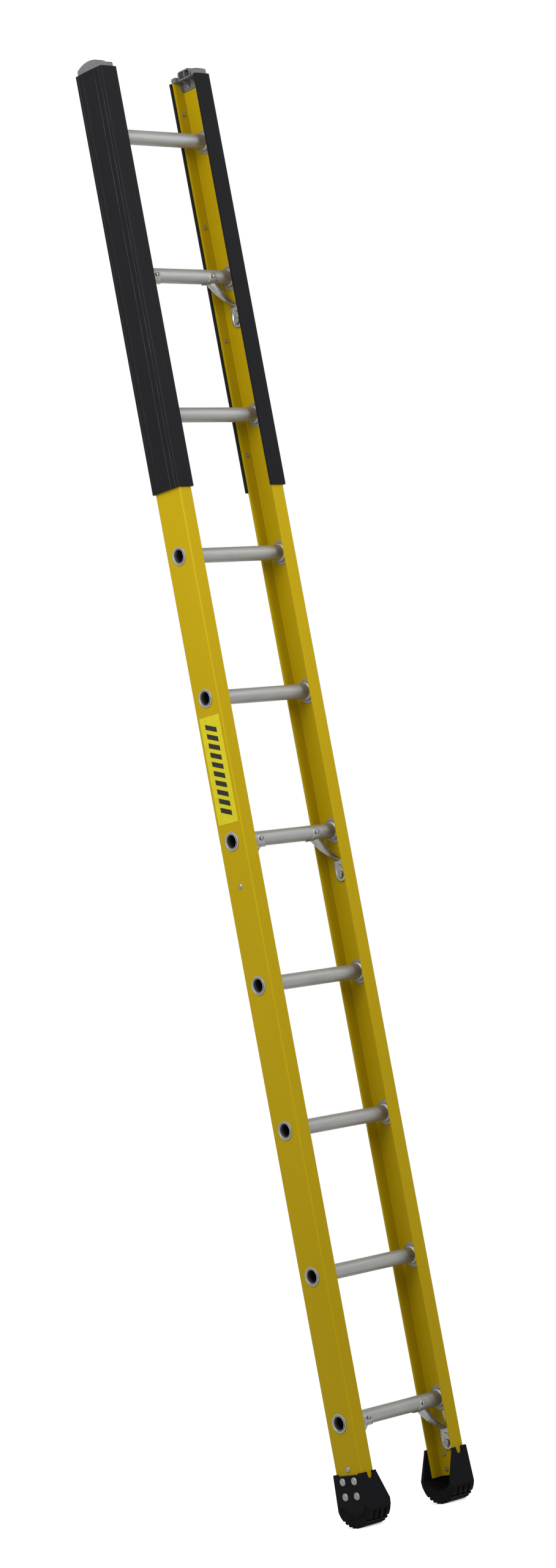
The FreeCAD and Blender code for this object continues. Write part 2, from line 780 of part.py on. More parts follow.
def make_shield_rivets(side):
    """Four rivets through the back flanges of a shield and its rail."""
    lowest = rail_top - shield_rivet_first - shield_rivet_pitch * (SHIELD_RIVET_COUNT - 1)
    body = new_body(f"shield_rivets_{SIDE_NAMES[side]}", 0, 0, lowest)
    outside = half_depth + shield_flange_gap + shield_flange_wall - shield_recess_depth
    inside = half_depth - rail_wall
    section = new_sketch(body, "XY_Plane", "RivetSection")
    bind(section, "AttachmentOffset.Base.x", side * (half_width - shield_rivet_inset))
    draw_outline(section, [
        (0, inside - 2.2),
        (2.2, inside - 2.2),
        (3.8, inside - 1.2),
        (4.4, inside),
        (small_shank, inside),
        (small_shank, outside),
        (5, outside),
        (4.6, outside + 0.8),
        (2.4, outside + 1.6),
        (0, outside + 1.6),
    ])
    turned = revolve(body, section, "Rivet", axis="V_Axis")
    repeat(body, turned, "RivetRow", "Z_Axis", shield_rivet_pitch, SHIELD_RIVET_COUNT)
    return body


# ---------------------------------------------------------------- rail shields

def make_shield(side):
    """A stepped channel that wraps the upper part of a rail, held off by thin ribs inside."""
    inward = -side
    body = new_body(f"rail_shield_{SIDE_NAMES[side]}", side * half_width, 0, rail_top - shield_length)
    web_out = shield_web_gap + shield_web_wall
    flange_in = half_depth + shield_flange_gap
    flange_out = flange_in + shield_flange_wall
    free_edge = rail_flange + shield_overhang
    bite = 0.5

    outer = new_sketch(body, "XY_Plane", "ShieldOutline")
    draw_box(outer, inward * -web_out, -flange_out, inward * free_edge, flange_out)
    pad(body, outer, "ShieldPad", shield_length)
    inner = new_sketch(body, "XY_Plane", "ShieldChannelOutline")
    draw_box(inner, inward * -shield_web_gap, -flange_in, inward * (free_edge + CLEAR), flange_in)
    pocket(body, inner, "ShieldChannel", shield_length, backwards=True)
    corner = (inward * -web_out).value
    round_edges(body, "ShieldCorners", 3,
                lambda edge: is_upright(edge) and abs(edge.CenterOfMass.x - corner) < 0.01)

    for level, half in enumerate((shield_broad_step, shield_narrow_step), start=1):
        step = new_sketch(body, "XY_Plane", f"StepOutline{level}")
        draw_box(step, inward * (-web_out - shield_step * level), -half, inward * (-web_out + bite), half)
        pad(body, step, f"Step{level}", shield_length)
    ribs = new_sketch(body, "XY_Plane", "RibOutlines")
    for face in FACES:
        for near in SHIELD_WEB_RIBS:
            draw_box(ribs, inward * -(shield_web_gap + bite), face * near, 0, face * (near + shield_rib))
        rail_face = face * half_depth
        flange_bite = face * (flange_in + bite)
        for near in SHIELD_FLANGE_RIBS:
            draw_box(ribs, inward * near, rail_face, inward * (near + shield_rib), flange_bite)
        lip_edge = face * (half_depth - shield_rib)
        draw_box(ribs, inward * (free_edge - shield_lip), lip_edge, inward * free_edge, flange_bite)
    pad(body, ribs, "Ribs", shield_length)

    hole = new_sketch(body, "XZ_Plane", "ShieldHoleCircle")
    lowest = shield_length - shield_rivet_first - shield_rivet_pitch * (SHIELD_RIVET_COUNT - 1)
    draw_circle(hole, inward * shield_rivet_inset, lowest, small_shank)
    first = pocket(body, hole, "ShieldHole", rail_depth)
    repeat(body, first, "ShieldHoles", "Z_Axis", shield_rivet_pitch, SHIELD_RIVET_COUNT)
    recess = new_sketch(body, "XZ_Plane", "RecessCircle", shield_recess_depth - flange_out)
    draw_circle(recess, inward * shield_rivet_inset, lowest, shield_recess_radius)
    first = pocket(body, recess, "Recess", shield_recess_depth + CLEAR)
    repeat(body, first, "Recesses", "Z_Axis", shield_rivet_pitch, SHIELD_RIVET_COUNT)
    return body


# ---------------------------------------------------------------- top caps

def make_cap(side):
    """A plug for the rail's end: an arched panel, a block with two pockets, two ears and a skirt."""
    inward = -side
    outwards = inward < 0
    body = new_body(f"top_cap_{SIDE_NAMES[side]}", side * half_width, 0, rail_top)
    rise = cap_crown - cap_shoulder
    crown_radius = (half_depth * half_depth + rise * rise) / (2 * rise)
    block_face = rail_flange - cap_block_setback
    crown = new_sketch(body, "YZ_Plane", "CrownOutline")
    draw_outline(crown, [
        (-half_depth, 0),
        (half_depth, 0),
        (half_depth, cap_shoulder, crown_radius, 1),
        (-half_depth, cap_shoulder),
    ])
    pad(body, crown, "CrownPanel", cap_panel, backwards=outwards)
    plate = new_sketch(body, "YZ_Plane", "FloorOutline")
    draw_box(plate, -cap_block_half, 0, cap_block_half, cap_floor)
    pad(body, plate, "Floor", block_face, backwards=outwards)
    block = new_sketch(body, "YZ_Plane", "BlockOutline")
    shoulder = cap_block_height - cap_block_corner
    flat_half = cap_block_half - cap_block_corner
    draw_outline(block, [
        (-cap_block_half, 0),
        (cap_block_half, 0),
        (cap_block_half, shoulder, cap_block_corner, 1),
        (flat_half, cap_block_height),
        (-flat_half, cap_block_height, cap_block_corner, 1),
        (-cap_block_half, shoulder),
    ])
    pad(body, block, "Block", block_face, backwards=outwards)
    for face, name in zip(FACES, ("Front", "Back")):
        ear = new_sketch(body, "YZ_Plane", f"{name}EarOutline")
        draw_outline(ear, [
            (face * cap_ear_start, 0),
            (face * half_depth, 0),
            (face * half_depth, cap_shoulder - cap_ear_corner, cap_ear_corner, face),
            (face * (half_depth - cap_ear_corner), cap_shoulder),
            (face * cap_ear_start, cap_shoulder),
        ])
        pad(body, ear, f"{name}Ear", rail_flange, backwards=outwards)
    pockets = new_sketch(body, "YZ_Plane", "PocketOutlines", inward * block_face)
    far = cap_block_half - cap_block_wall
    near = cap_block_wall / 2
    low = cap_floor
    high = cap_block_height - cap_block_wall
    for face in FACES:
        draw_outline(pockets, [
            (face * near, low),
            (face * far, low),
            (face * far, high - cap_pocket_corner, cap_pocket_corner, face),
            (face * (far - cap_pocket_corner), high),
            (face * near, high),
        ])
    pocket(body, pockets, "Pockets", cap_pocket_depth, backwards=outwards)

    inside = half_depth - rail_wall
    root = rail_wall + cap_liner
    chamfer = 2.2
    fillet = 1
    skirt = new_sketch(body, "XY_Plane", "SkirtOutline")
    draw_outline(skirt, [
        (inward * rail_wall, -inside + chamfer),
        (inward * (rail_wall + chamfer), -inside),
        (inward * cap_wing_reach, -inside),
        (inward * cap_wing_reach, -inside + cap_liner),
        (inward * (root + fillet), -inside + cap_liner),
        (inward * root, -inside + cap_liner + fillet),
        (inward * root, inside - cap_liner - fillet),
        (inward * (root + fillet), inside - cap_liner),
        (inward * cap_wing_reach, inside - cap_liner),
        (inward * cap_wing_reach, inside),
        (inward * (rail_wall + chamfer), inside),
        (inward * rail_wall, inside - chamfer),
    ])
    pad(body, skirt, "Skirt", cap_skirt, backwards=True)
    slope = new_sketch(body, "XZ_Plane", "WingSlopeOutline")
    draw_outline(slope, [
        (inward * (cap_wing_reach + CLEAR), -CLEAR),
        (inward * (cap_wing_reach - CLEAR), -CLEAR),
        (inward * (rail_wall + cap_liner * 2), -cap_skirt - CLEAR),
        (inward * (cap_wing_reach + CLEAR), -cap_skirt - CLEAR),
    ])
    pocket(body, slope, "WingSlope", rail_depth, both_ways=True)

    for face, name in zip(FACES, ("Back", "Front")):
        gusset = new_sketch(body, "XZ_Plane", f"{name}GussetOutline", face * cap_gusset_spread)
        draw_outline(gusset, [
            (inward * (rail_wall + CLEAR), 0),
            (inward * (block_face - CLEAR), 0),
            (inward * (rail_wall + CLEAR), -cap_skirt + CLEAR * 2),
        ])
        pad(body, gusset, f"{name}Gusset", cap_gusset_wall, both_ways=True)

    holes = new_sketch(body, "YZ_Plane", "RivetHoleCircles", inward * (rail_wall - CLEAR))
    for across in (-cap_rivet_spread, cap_rivet_spread):
        draw_circle(holes, across, -cap_skirt / 2, small_shank)
    pocket(body, holes, "RivetHoles", cap_liner + CLEAR * 2, backwards=inward > 0)
    return body


# ---------------------------------------------------------------- shoes

def bed_curve_radius():
    """Radius of the arc that the shell's lower edge and the tread's upper face share."""
    return (half_depth * half_depth + bed_rise * bed_rise) / (2 * bed_rise)


def make_shoe(side):
    """The shell of a shoe: a web wall and two side walls that widen downwards, open to the inside."""
    inward = -side
    outwards = inward < 0
    body = new_body(f"shoe_shell_{SIDE_NAMES[side]}", side * half_width, 0, foot_drop)
    top_half = half_depth + shoe_wall
    low_half = top_half + shoe_flare
    ear = shoe_rise + shoe_ear
    block = new_sketch(body, "YZ_Plane", "ShellOutline", inward * -shoe_wall)
    draw_outline(block, [
        (-top_half, ear),
        (-low_half, wall_foot),
        (-half_depth, wall_foot),
        (-half_depth, bed_end, bed_curve_radius(), 1),
        (half_depth, bed_end),
        (half_depth, wall_foot),
        (low_half, wall_foot),
        (top_half, ear),
    ])
    pad(body, block, "ShellBlock", shoe_wall + shoe_low_reach, backwards=outwards)
    room = new_sketch(body, "YZ_Plane", "RailRoomOutline")
    draw_box(room, -half_depth, -foot_drop, half_depth, ear + CLEAR)
    pocket(body, room, "RailRoom", shoe_low_reach + CLEAR, backwards=not outwards)

    slope = new_sketch(body, "XZ_Plane", "WallSlopeOutline")
    draw_outline(slope, [
        (inward * shoe_top_reach, ear + CLEAR),
        (inward * shoe_top_reach, shoe_rise),
        (inward * shoe_low_reach, -2),
        (inward * (shoe_low_reach - 2.5), wall_foot - CLEAR),
        (inward * (shoe_low_reach + CLEAR), wall_foot - CLEAR),
        (inward * (shoe_low_reach + CLEAR), ear + CLEAR),
    ])
    pocket(body, slope, "WallSlope", rail_depth * 2, both_ways=True)
    notch = new_sketch(body, "XZ_Plane", "NotchOutline")
    draw_outline(notch, [
        (inward * notch_near, ear + CLEAR),
        (inward * notch_near, shoe_rise - notch_sink, notch_radius, inward),
        (inward * notch_far, shoe_rise - notch_sink),
        (inward * notch_far, ear + CLEAR),
    ])
    pocket(body, notch, "Notch", rail_depth * 2, both_ways=True)
    dip = new_sketch(body, "YZ_Plane", "TopDipOutline")
    draw_box(dip, -shoe_dip_half, shoe_rise, shoe_dip_half, ear + CLEAR)
    pocket(body, dip, "TopDip", shoe_wall + CLEAR, backwards=outwards)

    holes = new_sketch(body, "YZ_Plane", "RivetHoleCircles")
    for across in (-shoe_rivet_spread, shoe_rivet_spread):
        for up in (shoe_rivet_low, shoe_rivet_high):
            draw_circle(holes, across, up, large_shank)
    pocket(body, holes, "RivetHoles", shoe_wall + CLEAR, backwards=outwards)
    return body


def make_tread(side):
    """The round rubber tread of a shoe, ribbed across its sole and slotted on both fronts."""
    inward = -side
    outwards = inward < 0
    body = new_body(f"shoe_tread_{SIDE_NAMES[side]}", side * half_width, 0, foot_drop)
    block = new_sketch(body, "YZ_Plane", "TreadOutline", inward * -shoe_wall)
    draw_outline(block, [
        (-sole_half, wall_foot, tread_radius, 1),
        (sole_half, wall_foot),
        (half_depth, wall_foot),
        (half_depth, bed_end, bed_curve_radius(), -1),
        (-half_depth, bed_end),
        (-half_depth, wall_foot),
    ])
    pad(body, block, "TreadBlock", shoe_wall + tread_reach, backwards=outwards)
    band = new_sketch(body, "YZ_Plane", "BandOutline", inward * -shoe_wall)
    draw_outline(band, [
        (-band_half, band_top - band_height, bed_curve_radius(), 1),
        (band_half, band_top - band_height),
        (band_half, band_top, bed_curve_radius(), -1),
        (-band_half, band_top),
    ])
    pad(body, band, "Band", band_thickness, backwards=inward > 0)

    groove = new_sketch(body, "YZ_Plane", "GrooveOutline", inward * (tread_reach + CLEAR))
    turn = FreeCAD.Rotation(FreeCAD.Vector(0, 0, 1), -GROOVE_SPAN / 2)
    groove.AttachmentOffset = FreeCAD.Placement(groove.AttachmentOffset.Base, turn)
    bind(groove, "AttachmentOffset.Base.y", tread_radius - foot_drop)
    draw_box(groove, groove_width / -2, -tread_radius - CLEAR, groove_width / 2,
             -tread_radius + groove_depth)
    first = pocket(body, groove, "Groove", tread_reach + shoe_wall + CLEAR * 4, backwards=inward < 0)
    row = body.newObject("PartDesign::PolarPattern", "Grooves")
    row.Originals = [first]
    row.Axis = (groove, ["N_Axis"])
    row.Angle = GROOVE_SPAN
    row.Occurrences = GROOVE_COUNT
    body.Tip = row

    slots = new_sketch(body, "YZ_Plane", "SlotOutlines", inward * slot_first)
    bind(slots, "AttachmentOffset.Base.y", tread_radius - foot_drop)
    low, high = (math.radians(angle) for angle in (SLOT_FROM, SLOT_TO))
    outer_edge = tread_radius + CLEAR * 3
    inner_edge = tread_radius - slot_depth
    for face in FACES:
        draw_outline(slots, [
            (face * outer_edge * math.sin(low), -outer_edge * math.cos(low)),
            (face * outer_edge * math.sin(high), -outer_edge * math.cos(high)),
            (face * inner_edge * math.sin(high), -inner_edge * math.cos(high), inner_edge, -face),
            (face * inner_edge * math.sin(low), -inner_edge * math.cos(low)),
        ])
    first = pocket(body, slots, "Slots", slot_width, both_ways=True)
    doc.recompute()
    slot_row = body.newObject("PartDesign::LinearPattern", "SlotRow")
    slot_row.Originals = [first]
    slot_row.Direction = (origin_feature(body, "X_Axis"), [""])
    slot_row.Reversed = outwards
    bind(slot_row, "Length", slot_pitch * (SLOT_COUNT - 1))
    slot_row.Occurrences = SLOT_COUNT
    body.Tip = slot_row
    doc.recompute()
    return body


# ---------------------------------------------------------------- label

def make_label():
    """A plain printed label on the outside of the left rail, half-way between two rungs."""
    middle = first_rung + rung_pitch * LABEL_STEPS
    body = new_body("rail_label_left", -half_width, 0, middle)
    outline = new_sketch(body, "YZ_Plane", "LabelOutline")
    draw_box(outline, label_width / -2, label_height / -2, label_width / 2, label_height / 2)
    pad(body, outline, "Label", label_thickness, backwards=True)
    round_edges(body, "LabelCorners", label_corner, lambda edge: edge.Length < label_thickness.value * 1.01)
    return body


# ---------------------------------------------------------------- build, check and write

def make_all():
    """Make every sub-part and return them in order."""
    pieces = [make_rail(side) for side in SIDE_NAMES]
    pieces += [make_rung(number) for number in range(1, RUNG_COUNT + 1)]
    for side in SIDE_NAMES:
        pieces += [make_ferrules(side), make_washers(side)]
        pieces += [make_brace(number, side) for number in BRACED_RUNGS]
        pieces += [make_bottom_strip(side), make_shield(side), make_shield_rivets(side)]
        pieces += [make_cap(side), make_cap_rivets(side)]
        pieces += [make_shoe(side), make_tread(side), make_shoe_rivets(side)]
    pieces += [make_brace_rail_rivets(), make_brace_rung_rivets(), make_label()]
    return pieces


def check(pieces):
    """Refuse to write anything when an object failed or a shape is broken."""
    for thing in doc.Objects:
        if "Invalid" in thing.State or "Error" in thing.State:
            raise RuntimeError(f"{thing.Name} of {thing.TypeId} failed: {thing.State}")
    for piece in pieces:
        if piece.Shape.isNull() or not piece.Shape.isValid() or not piece.Shape.Solids:
            raise RuntimeError(f"{piece.Label} has no valid solid")


parts = make_all()
doc.recompute()
check(parts)
for part in parts:
    part.Shape.exportStep(f"parts/{part.Label}.step")
    print(f"{part.Label}: {len(part.Shape.Solids)} solid(s), {part.Shape.Volume / 1000:.1f} cm3")
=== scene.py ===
import json
import math

import bmesh
import bpy
from mathutils import Matrix, Vector


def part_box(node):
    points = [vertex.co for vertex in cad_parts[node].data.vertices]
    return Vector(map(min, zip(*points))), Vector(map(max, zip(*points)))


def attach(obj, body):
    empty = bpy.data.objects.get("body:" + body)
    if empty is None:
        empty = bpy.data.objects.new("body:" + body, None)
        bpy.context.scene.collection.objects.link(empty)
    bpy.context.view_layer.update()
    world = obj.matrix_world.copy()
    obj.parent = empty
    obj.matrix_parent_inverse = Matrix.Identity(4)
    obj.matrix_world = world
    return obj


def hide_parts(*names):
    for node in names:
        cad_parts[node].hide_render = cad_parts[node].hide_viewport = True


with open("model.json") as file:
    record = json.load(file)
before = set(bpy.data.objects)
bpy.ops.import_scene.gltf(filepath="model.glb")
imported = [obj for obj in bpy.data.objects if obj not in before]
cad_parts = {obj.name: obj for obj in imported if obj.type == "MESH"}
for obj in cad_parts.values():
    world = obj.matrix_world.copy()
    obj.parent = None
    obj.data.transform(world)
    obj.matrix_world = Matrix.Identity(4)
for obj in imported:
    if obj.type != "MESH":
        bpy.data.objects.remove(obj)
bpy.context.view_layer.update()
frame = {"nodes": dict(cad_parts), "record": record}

# The looks of a fibreglass manhole ladder.  Metres.  +Z runs up the rails, +X along the rungs,
# and -Y is the side that is climbed.  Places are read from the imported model's boxes.

MM = 0.001
TAU = 2 * math.pi
SIDES = {"left": -1, "right": 1}
RUNGS = [f"rung_{number:02d}" for number in range(1, 11)]
BRACED = (1, 5, 9)
ACROSS = (1, 0, 0)

# ---------------------------------------------------------------- places from the frame

web_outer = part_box("right_rail")[1][0]
web_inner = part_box("rung_washers_right")[1][0]
washer_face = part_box("rung_washers_right")[0][0]
rung_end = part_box("rung_01")[1][0]
ferrule_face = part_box("rung_ferrules_right")[1][0]
rail_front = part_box("right_rail")[0][1]
rail_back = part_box("right_rail")[1][1]
rail_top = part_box("right_rail")[1][2]
rung_heights = [(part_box(name)[0][2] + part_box(name)[1][2]) / 2 for name in RUNGS]

RUNG_RADIUS = 15.875 * MM
BORE_RADIUS = 14.2 * MM
BEAD_RADIUS = 20.9 * MM
BEAD_WIDTH = 6 * MM
LIP_RADIUS = 18.4 * MM
RIB_COUNT = 36
RIB_DEPTH = 0.35 * MM
FERRULE_RADIUS = 20.2 * MM
WASHER_RADIUS = 26.5 * MM
SERRATIONS = 30
BORE_STEPS = (60, 30, 18, 12, 8, 4)
MOUTH_RADIUS = 16.7 * MM
MOUTH_DEPTH = 1.6 * MM
FOOT_DROP = 95.25 * MM
WEB_WALL = 4.5 * MM
# Across-places of the shields' step edges, where painted highlight lines are drawn.
SHIELD_EDGES = (19.3 * MM, 33.4 * MM)
CAP_SHOULDER = 11 * MM
CAP_PANEL = 13 * MM
LARGE_SHANK = 3.2 * MM
SMALL_SHANK = 2.4 * MM
RIVET_SEGMENTS = 32
SHARP = math.radians(32)
CAP_RIM = 2.6 * MM
CAP_RIM_DEPTH = 0.8 * MM

# The label's bars.
BARS = 10
BAR_COLUMN = 0.86
BAR_HALF_LENGTH = 0.27
BAR_SHARE = 0.56
BAR_SLANT = 0.35

# The pressed foot of a brace, by height above its rivet.
FOOT_PLATE = 3.2 * MM
NECK_FROM = 20 * MM
NECK_FULL = 38 * MM
NECK_EASES = 45 * MM
NECK_ENDS = 75 * MM
NECK_SHARE = 0.42
DISH_RISE = 6 * MM
DISH_HALF_WIDTH = 13 * MM
DISH_HALF_HEIGHT = 20 * MM
DISH_DEPTH = 1.9 * MM
BRACE_VOXEL = 0.65 * MM

# The strength of the white surround, by the kind of ray that reaches it.
SKY = (("Is Diffuse Ray", 0.40), ("Is Glossy Ray", 0.78), ("Is Camera Ray", 1.0))
CAMERA_PLACE = (-5.7284, -5.8182, 0.8240)
CAMERA_AIM = (0.0051, -0.0050, 1.5455)
CAMERA_ROLL = math.radians(-10.5356)
CAMERA_LENS = 89.115


# ---------------------------------------------------------------- finishes

class Finish:
    """A material: one Principled shader and short calls for the nodes that feed it."""

    def __init__(self, name, **fixed):
        self.material = bpy.data.materials.new(name)
        self.material.use_nodes = True
        self.tree = self.material.node_tree
        self.shader = self.tree.nodes["Principled BSDF"]
        for socket, value in fixed.items():
            self.shader.inputs[socket.replace("_", " ")].default_value = value

    def node(self, kind, **settings):
        made = self.tree.nodes.new(kind)
        for name, value in settings.items():
            setattr(made, name, value)
        return made

    def link(self, source, target):
        self.tree.links.new(source, target)

    def feed(self, socket, source):
        self.link(source, self.shader.inputs[socket])

    def place(self, stretch=(1, 1, 1)):
        """Object coordinates, stretched along each axis."""
        coords = self.node("ShaderNodeTexCoord")
        mapping = self.node("ShaderNodeMapping")
        mapping.inputs["Scale"].default_value = stretch
        self.link(coords.outputs["Object"], mapping.inputs["Vector"])
        return mapping.outputs["Vector"]

    def noise(self, scale, stretch=(1, 1, 1), detail=4.0, roughness=0.55):
        made = self.node("ShaderNodeTexNoise")
        made.inputs["Scale"].default_value = scale
        made.inputs["Detail"].default_value = detail
        made.inputs["Roughness"].default_value = roughness
        self.link(self.place(stretch), made.inputs["Vector"])
        return made.outputs["Fac"]

    def cells(self, scale):
        made = self.node("ShaderNodeTexVoronoi")
        made.inputs["Scale"].default_value = scale
        self.link(self.place(), made.inputs["Vector"])
        return made.outputs["Distance"]

    def ramp(self, source, low, high, start=0.3, stop=0.7):
        """Turn a factor into a colour between two."""
        made = self.node("ShaderNodeValToRGB")
        made.color_ramp.elements[0].position = start
        made.color_ramp.elements[1].position = stop
        made.color_ramp.elements[0].color = (*low, 1)
        made.color_ramp.elements[1].color = (*high, 1)
        self.link(source, made.inputs["Fac"])
        return made.outputs["Color"]

    def span(self, source, low, high, start=0.3, stop=0.7):
        """Turn a factor into a number between two."""
        made = self.node("ShaderNodeMapRange")
        for socket, value in (("From Min", start), ("From Max", stop), ("To Min", low), ("To Max", high)):
            made.inputs[socket].default_value = value
        self.link(source, made.inputs["Value"])
        return made.outputs["Result"]

    def mix(self, factor, first, second):
        made = self.node("ShaderNodeMix", data_type="RGBA")
        if isinstance(factor, float):
            made.inputs["Factor"].default_value = factor
        else:
            self.link(factor, made.inputs["Factor"])
        for socket, value in ((6, first), (7, second)):
            if isinstance(value, tuple):
                made.inputs[socket].default_value = (*value, 1)
            else:
                self.link(value, made.inputs[socket])
        return made.outputs[2]

    def maths(self, operation, first, second=0.0):
        made = self.node("ShaderNodeMath", operation=operation)
        for index, value in enumerate((first, second)):
            if isinstance(value, (int, float)):
                made.inputs[index].default_value = value
            else:
                self.link(value, made.inputs[index])
        return made.outputs[0]

    def bump(self, *layers):
        """Stack bumps of (height, depth in metres)."""
        below = None
        for height, depth in layers:
            made = self.node("ShaderNodeBump")
            made.inputs["Distance"].default_value = depth
            self.link(height, made.inputs["Height"])
            if below:
                self.link(below, made.inputs["Normal"])
            below = made.outputs["Normal"]
        self.feed("Normal", below)


def fibreglass():
    """Yellow pultruded fibreglass: fine strands along the rail under a smooth resin skin."""
    made = Finish("yellow_fibreglass", IOR=1.45, Specular_IOR_Level=0.14)
    strands = made.noise(1, (900, 900, 6), 4)
    cloud = made.noise(7, (1, 1, 0.35), 3)
    veil = made.noise(420, (1, 1, 0.25), 2)
    colour = made.ramp(strands, (0.465, 0.322, 0.0008), (0.50, 0.350, 0.0016), 0.3, 0.7)
    colour = made.mix(made.span(cloud, 0.0, 0.4), colour, (0.44, 0.300, 0.0006))
    scuffs = made.span(made.noise(38, (1, 1, 5), 6, 0.7), 0, 0.22, 0.68, 0.76)
    colour = made.mix(scuffs, colour, (0.54, 0.41, 0.02))
    made.feed("Base Color", colour)
    made.feed("Roughness", made.span(cloud, 0.42, 0.56))
    made.bump((strands, 0.00003), (veil, 0.00004))
    return made.material


def rung_metal():
    """Extruded aluminium, dull, with die lines along the rung and painted shade darkening its bore."""
    made = Finish("rung_aluminium", Metallic=0.85, Anisotropic=0.3)
    lines = made.noise(1, (6, 1400, 1400), 4)
    stains = made.noise(26, (0.6, 1, 1), 5)
    colour = made.ramp(lines, (0.36, 0.365, 0.36), (0.46, 0.465, 0.455))
    colour = made.mix(made.span(stains, 0, 0.4, 0.45, 0.75), colour, (0.31, 0.31, 0.295))
    # Painted shade: the bore's faces turn near black, more so deeper into the tube.
    inside = made.node("ShaderNodeAttribute", attribute_name="painted_bore_shade").outputs["Fac"]
    made.feed("Base Color", made.mix(inside, colour, (0.030, 0.030, 0.030)))
    made.feed("Roughness", made.span(stains, 0.40, 0.54))
    made.bump((lines, 0.00006))
    return made.material


def formed_metal(name, low, high, smooth, rough):
    """Pressed or turned metal with faint tool marks and handling marks."""
    made = Finish(name, Metallic=0.95)
    marks = made.noise(260, (1, 1, 1), 5, 0.65)
    stains = made.noise(55, (1, 1, 1), 4)
    colour = made.ramp(marks, low, high)
    dull = tuple(0.72 * value for value in low)
    made.feed("Base Color", made.mix(made.span(stains, 0, 0.5, 0.5, 0.75), colour, dull))
    made.feed("Roughness", made.span(marks, smooth, rough))
    made.bump((marks, 0.00005), (stains, 0.0001))
    return made.material


def shield_plastic():
    """Black extruded plastic with die lines, light rub marks and painted highlight lines along its step
    edges.
    """
    made = Finish("shield_plastic", IOR=1.45, Specular_IOR_Level=0.13)
    lines = made.noise(1, (900, 900, 3), 4)
    rubs = made.span(made.noise(18, (1, 1, 3), 6, 0.7), 0, 0.4, 0.64, 0.8)
    colour = made.ramp(lines, (0.0048, 0.0050, 0.0064), (0.0084, 0.0087, 0.0106))
    colour = made.mix(rubs, colour, (0.020, 0.021, 0.024))
    split = made.node("ShaderNodeSeparateXYZ")
    made.link(made.place(), split.inputs["Vector"])
    across = made.maths("ABSOLUTE", split.outputs["Y"])
    # Painted highlights: thin pale lines along the step edges of the web, broken up by noise.
    rub_wear_and_highlight = made.span(made.noise(14, (1, 1, 2), 4), 0.25, 0.9)
    for edge in SHIELD_EDGES:
        gap = made.maths("ABSOLUTE", made.maths("SUBTRACT", across, edge))
        line = made.maths("MULTIPLY", made.span(gap, 1, 0, 0.2 * MM, 0.7 * MM), rub_wear_and_highlight)
        colour = made.mix(line, colour, (0.085, 0.088, 0.094))
    made.feed("Base Color", colour)
    made.feed("Roughness", made.span(lines, 0.40, 0.55))
    made.bump((lines, 0.00008))
    return made.material


def moulded(name, low, high, grain_size, grain_depth, rub_wear_and_highlight, smooth, rough, gloss):
    """Moulded plastic or rubber with a fine grain and paler rubbed patches."""
    made = Finish(name, IOR=1.45, Specular_IOR_Level=gloss)
    grain = made.cells(grain_size)
    patches = made.noise(70, (1, 1, 1), 5, 0.6)
    colour = made.ramp(made.noise(320), low, high)
    made.feed("Base Color", made.mix(made.span(patches, 0, 0.5, 0.6, 0.85), colour, rub_wear_and_highlight))
    made.feed("Roughness", made.span(patches, smooth, rough))
    made.bump((grain, grain_depth), (patches, 0.0001))
    return made.material


def label_film():
    """Plain yellow film with one column of equal slanted black bars, and no lettering."""
    made = Finish("label_film", IOR=1.45, Specular_IOR_Level=0.25)
    low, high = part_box("rail_label_left")
    split = made.node("ShaderNodeSeparateXYZ")
    made.link(made.place(), split.inputs["Vector"])
    across, up = split.outputs["Y"], split.outputs["Z"]
    middle = (low[2] + high[2]) / 2
    pitch = (high[2] - low[2]) * BAR_COLUMN / BARS
    half_length = (high[1] - low[1]) * BAR_HALF_LENGTH
    height = made.maths("SUBTRACT", up, middle)
    within = made.maths("LESS_THAN", made.maths("ABSOLUTE", across), half_length)
    leaning = made.maths("SUBTRACT", height, made.maths("MULTIPLY", across, BAR_SLANT))
    count = made.maths("DIVIDE", leaning, pitch)
    in_column = made.maths("LESS_THAN", made.maths("ABSOLUTE", count), BARS / 2)
    off_middle = made.maths("ABSOLUTE", made.maths("SUBTRACT", made.maths("FRACT", count), 0.5))
    bar = made.maths("LESS_THAN", off_middle, BAR_SHARE / 2)
    printed = made.maths("MULTIPLY", made.maths("MULTIPLY", in_column, within), bar)
    film = made.ramp(made.noise(45), (0.60, 0.52, 0.008), (0.66, 0.575, 0.014))
    worn = made.span(made.noise(160), 1, 0.97)
    made.feed("Base Color", made.mix(made.maths("MULTIPLY", printed, worn), film, (0.012, 0.012, 0.012)))
    made.feed("Roughness", made.span(made.noise(30), 0.3, 0.45))
    made.bump((made.noise(60), 0.00008))
    return made.material


